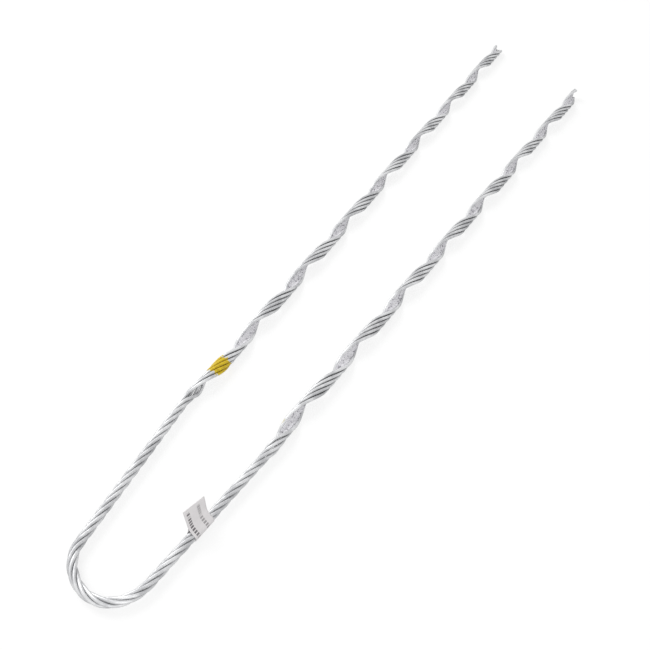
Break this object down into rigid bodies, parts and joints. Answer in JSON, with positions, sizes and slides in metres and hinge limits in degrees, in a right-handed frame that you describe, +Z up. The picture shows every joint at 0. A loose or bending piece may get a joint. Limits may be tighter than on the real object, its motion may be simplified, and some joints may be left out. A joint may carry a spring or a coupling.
{
  "type": "guy grip dead-end",
  "caption": "Preformed helical wire grip that loops over a guy anchor eye and wraps a guy strand, with an open gritted helix in both legs.",
  "frame": {"origin": "under the middle of the part's box, on the plane it lies on", "axes": "+Y runs from the eye to the leg tips, +Z is up from the resting plane, the long leg is on the -X side and the short leg on the +X side"},
  "size_m": [0.1022, 0.6482, 0.0212],
  "materials": {
    "galvanised_wire": "semi-bright galvanised, lightly drawn along the wire",
    "grit": "matt, sandy grit in adhesive",
    "yellow_paint": "satin",
    "label_paper": "matt coated paper"
  },
  "bodies": {
    "root": {"wire_1": "galvanised_wire", "wire_2": "galvanised_wire", "wire_3": "galvanised_wire", "wire_4": "galvanised_wire", "wire_5": "galvanised_wire", "grit_lining_long_leg": "grit", "grit_lining_short_leg": "grit", "colour_mark_long_leg": "yellow_paint", "colour_mark_short_leg": "yellow_paint", "folded_label": "label_paper"}
  },
  "joints": []
}
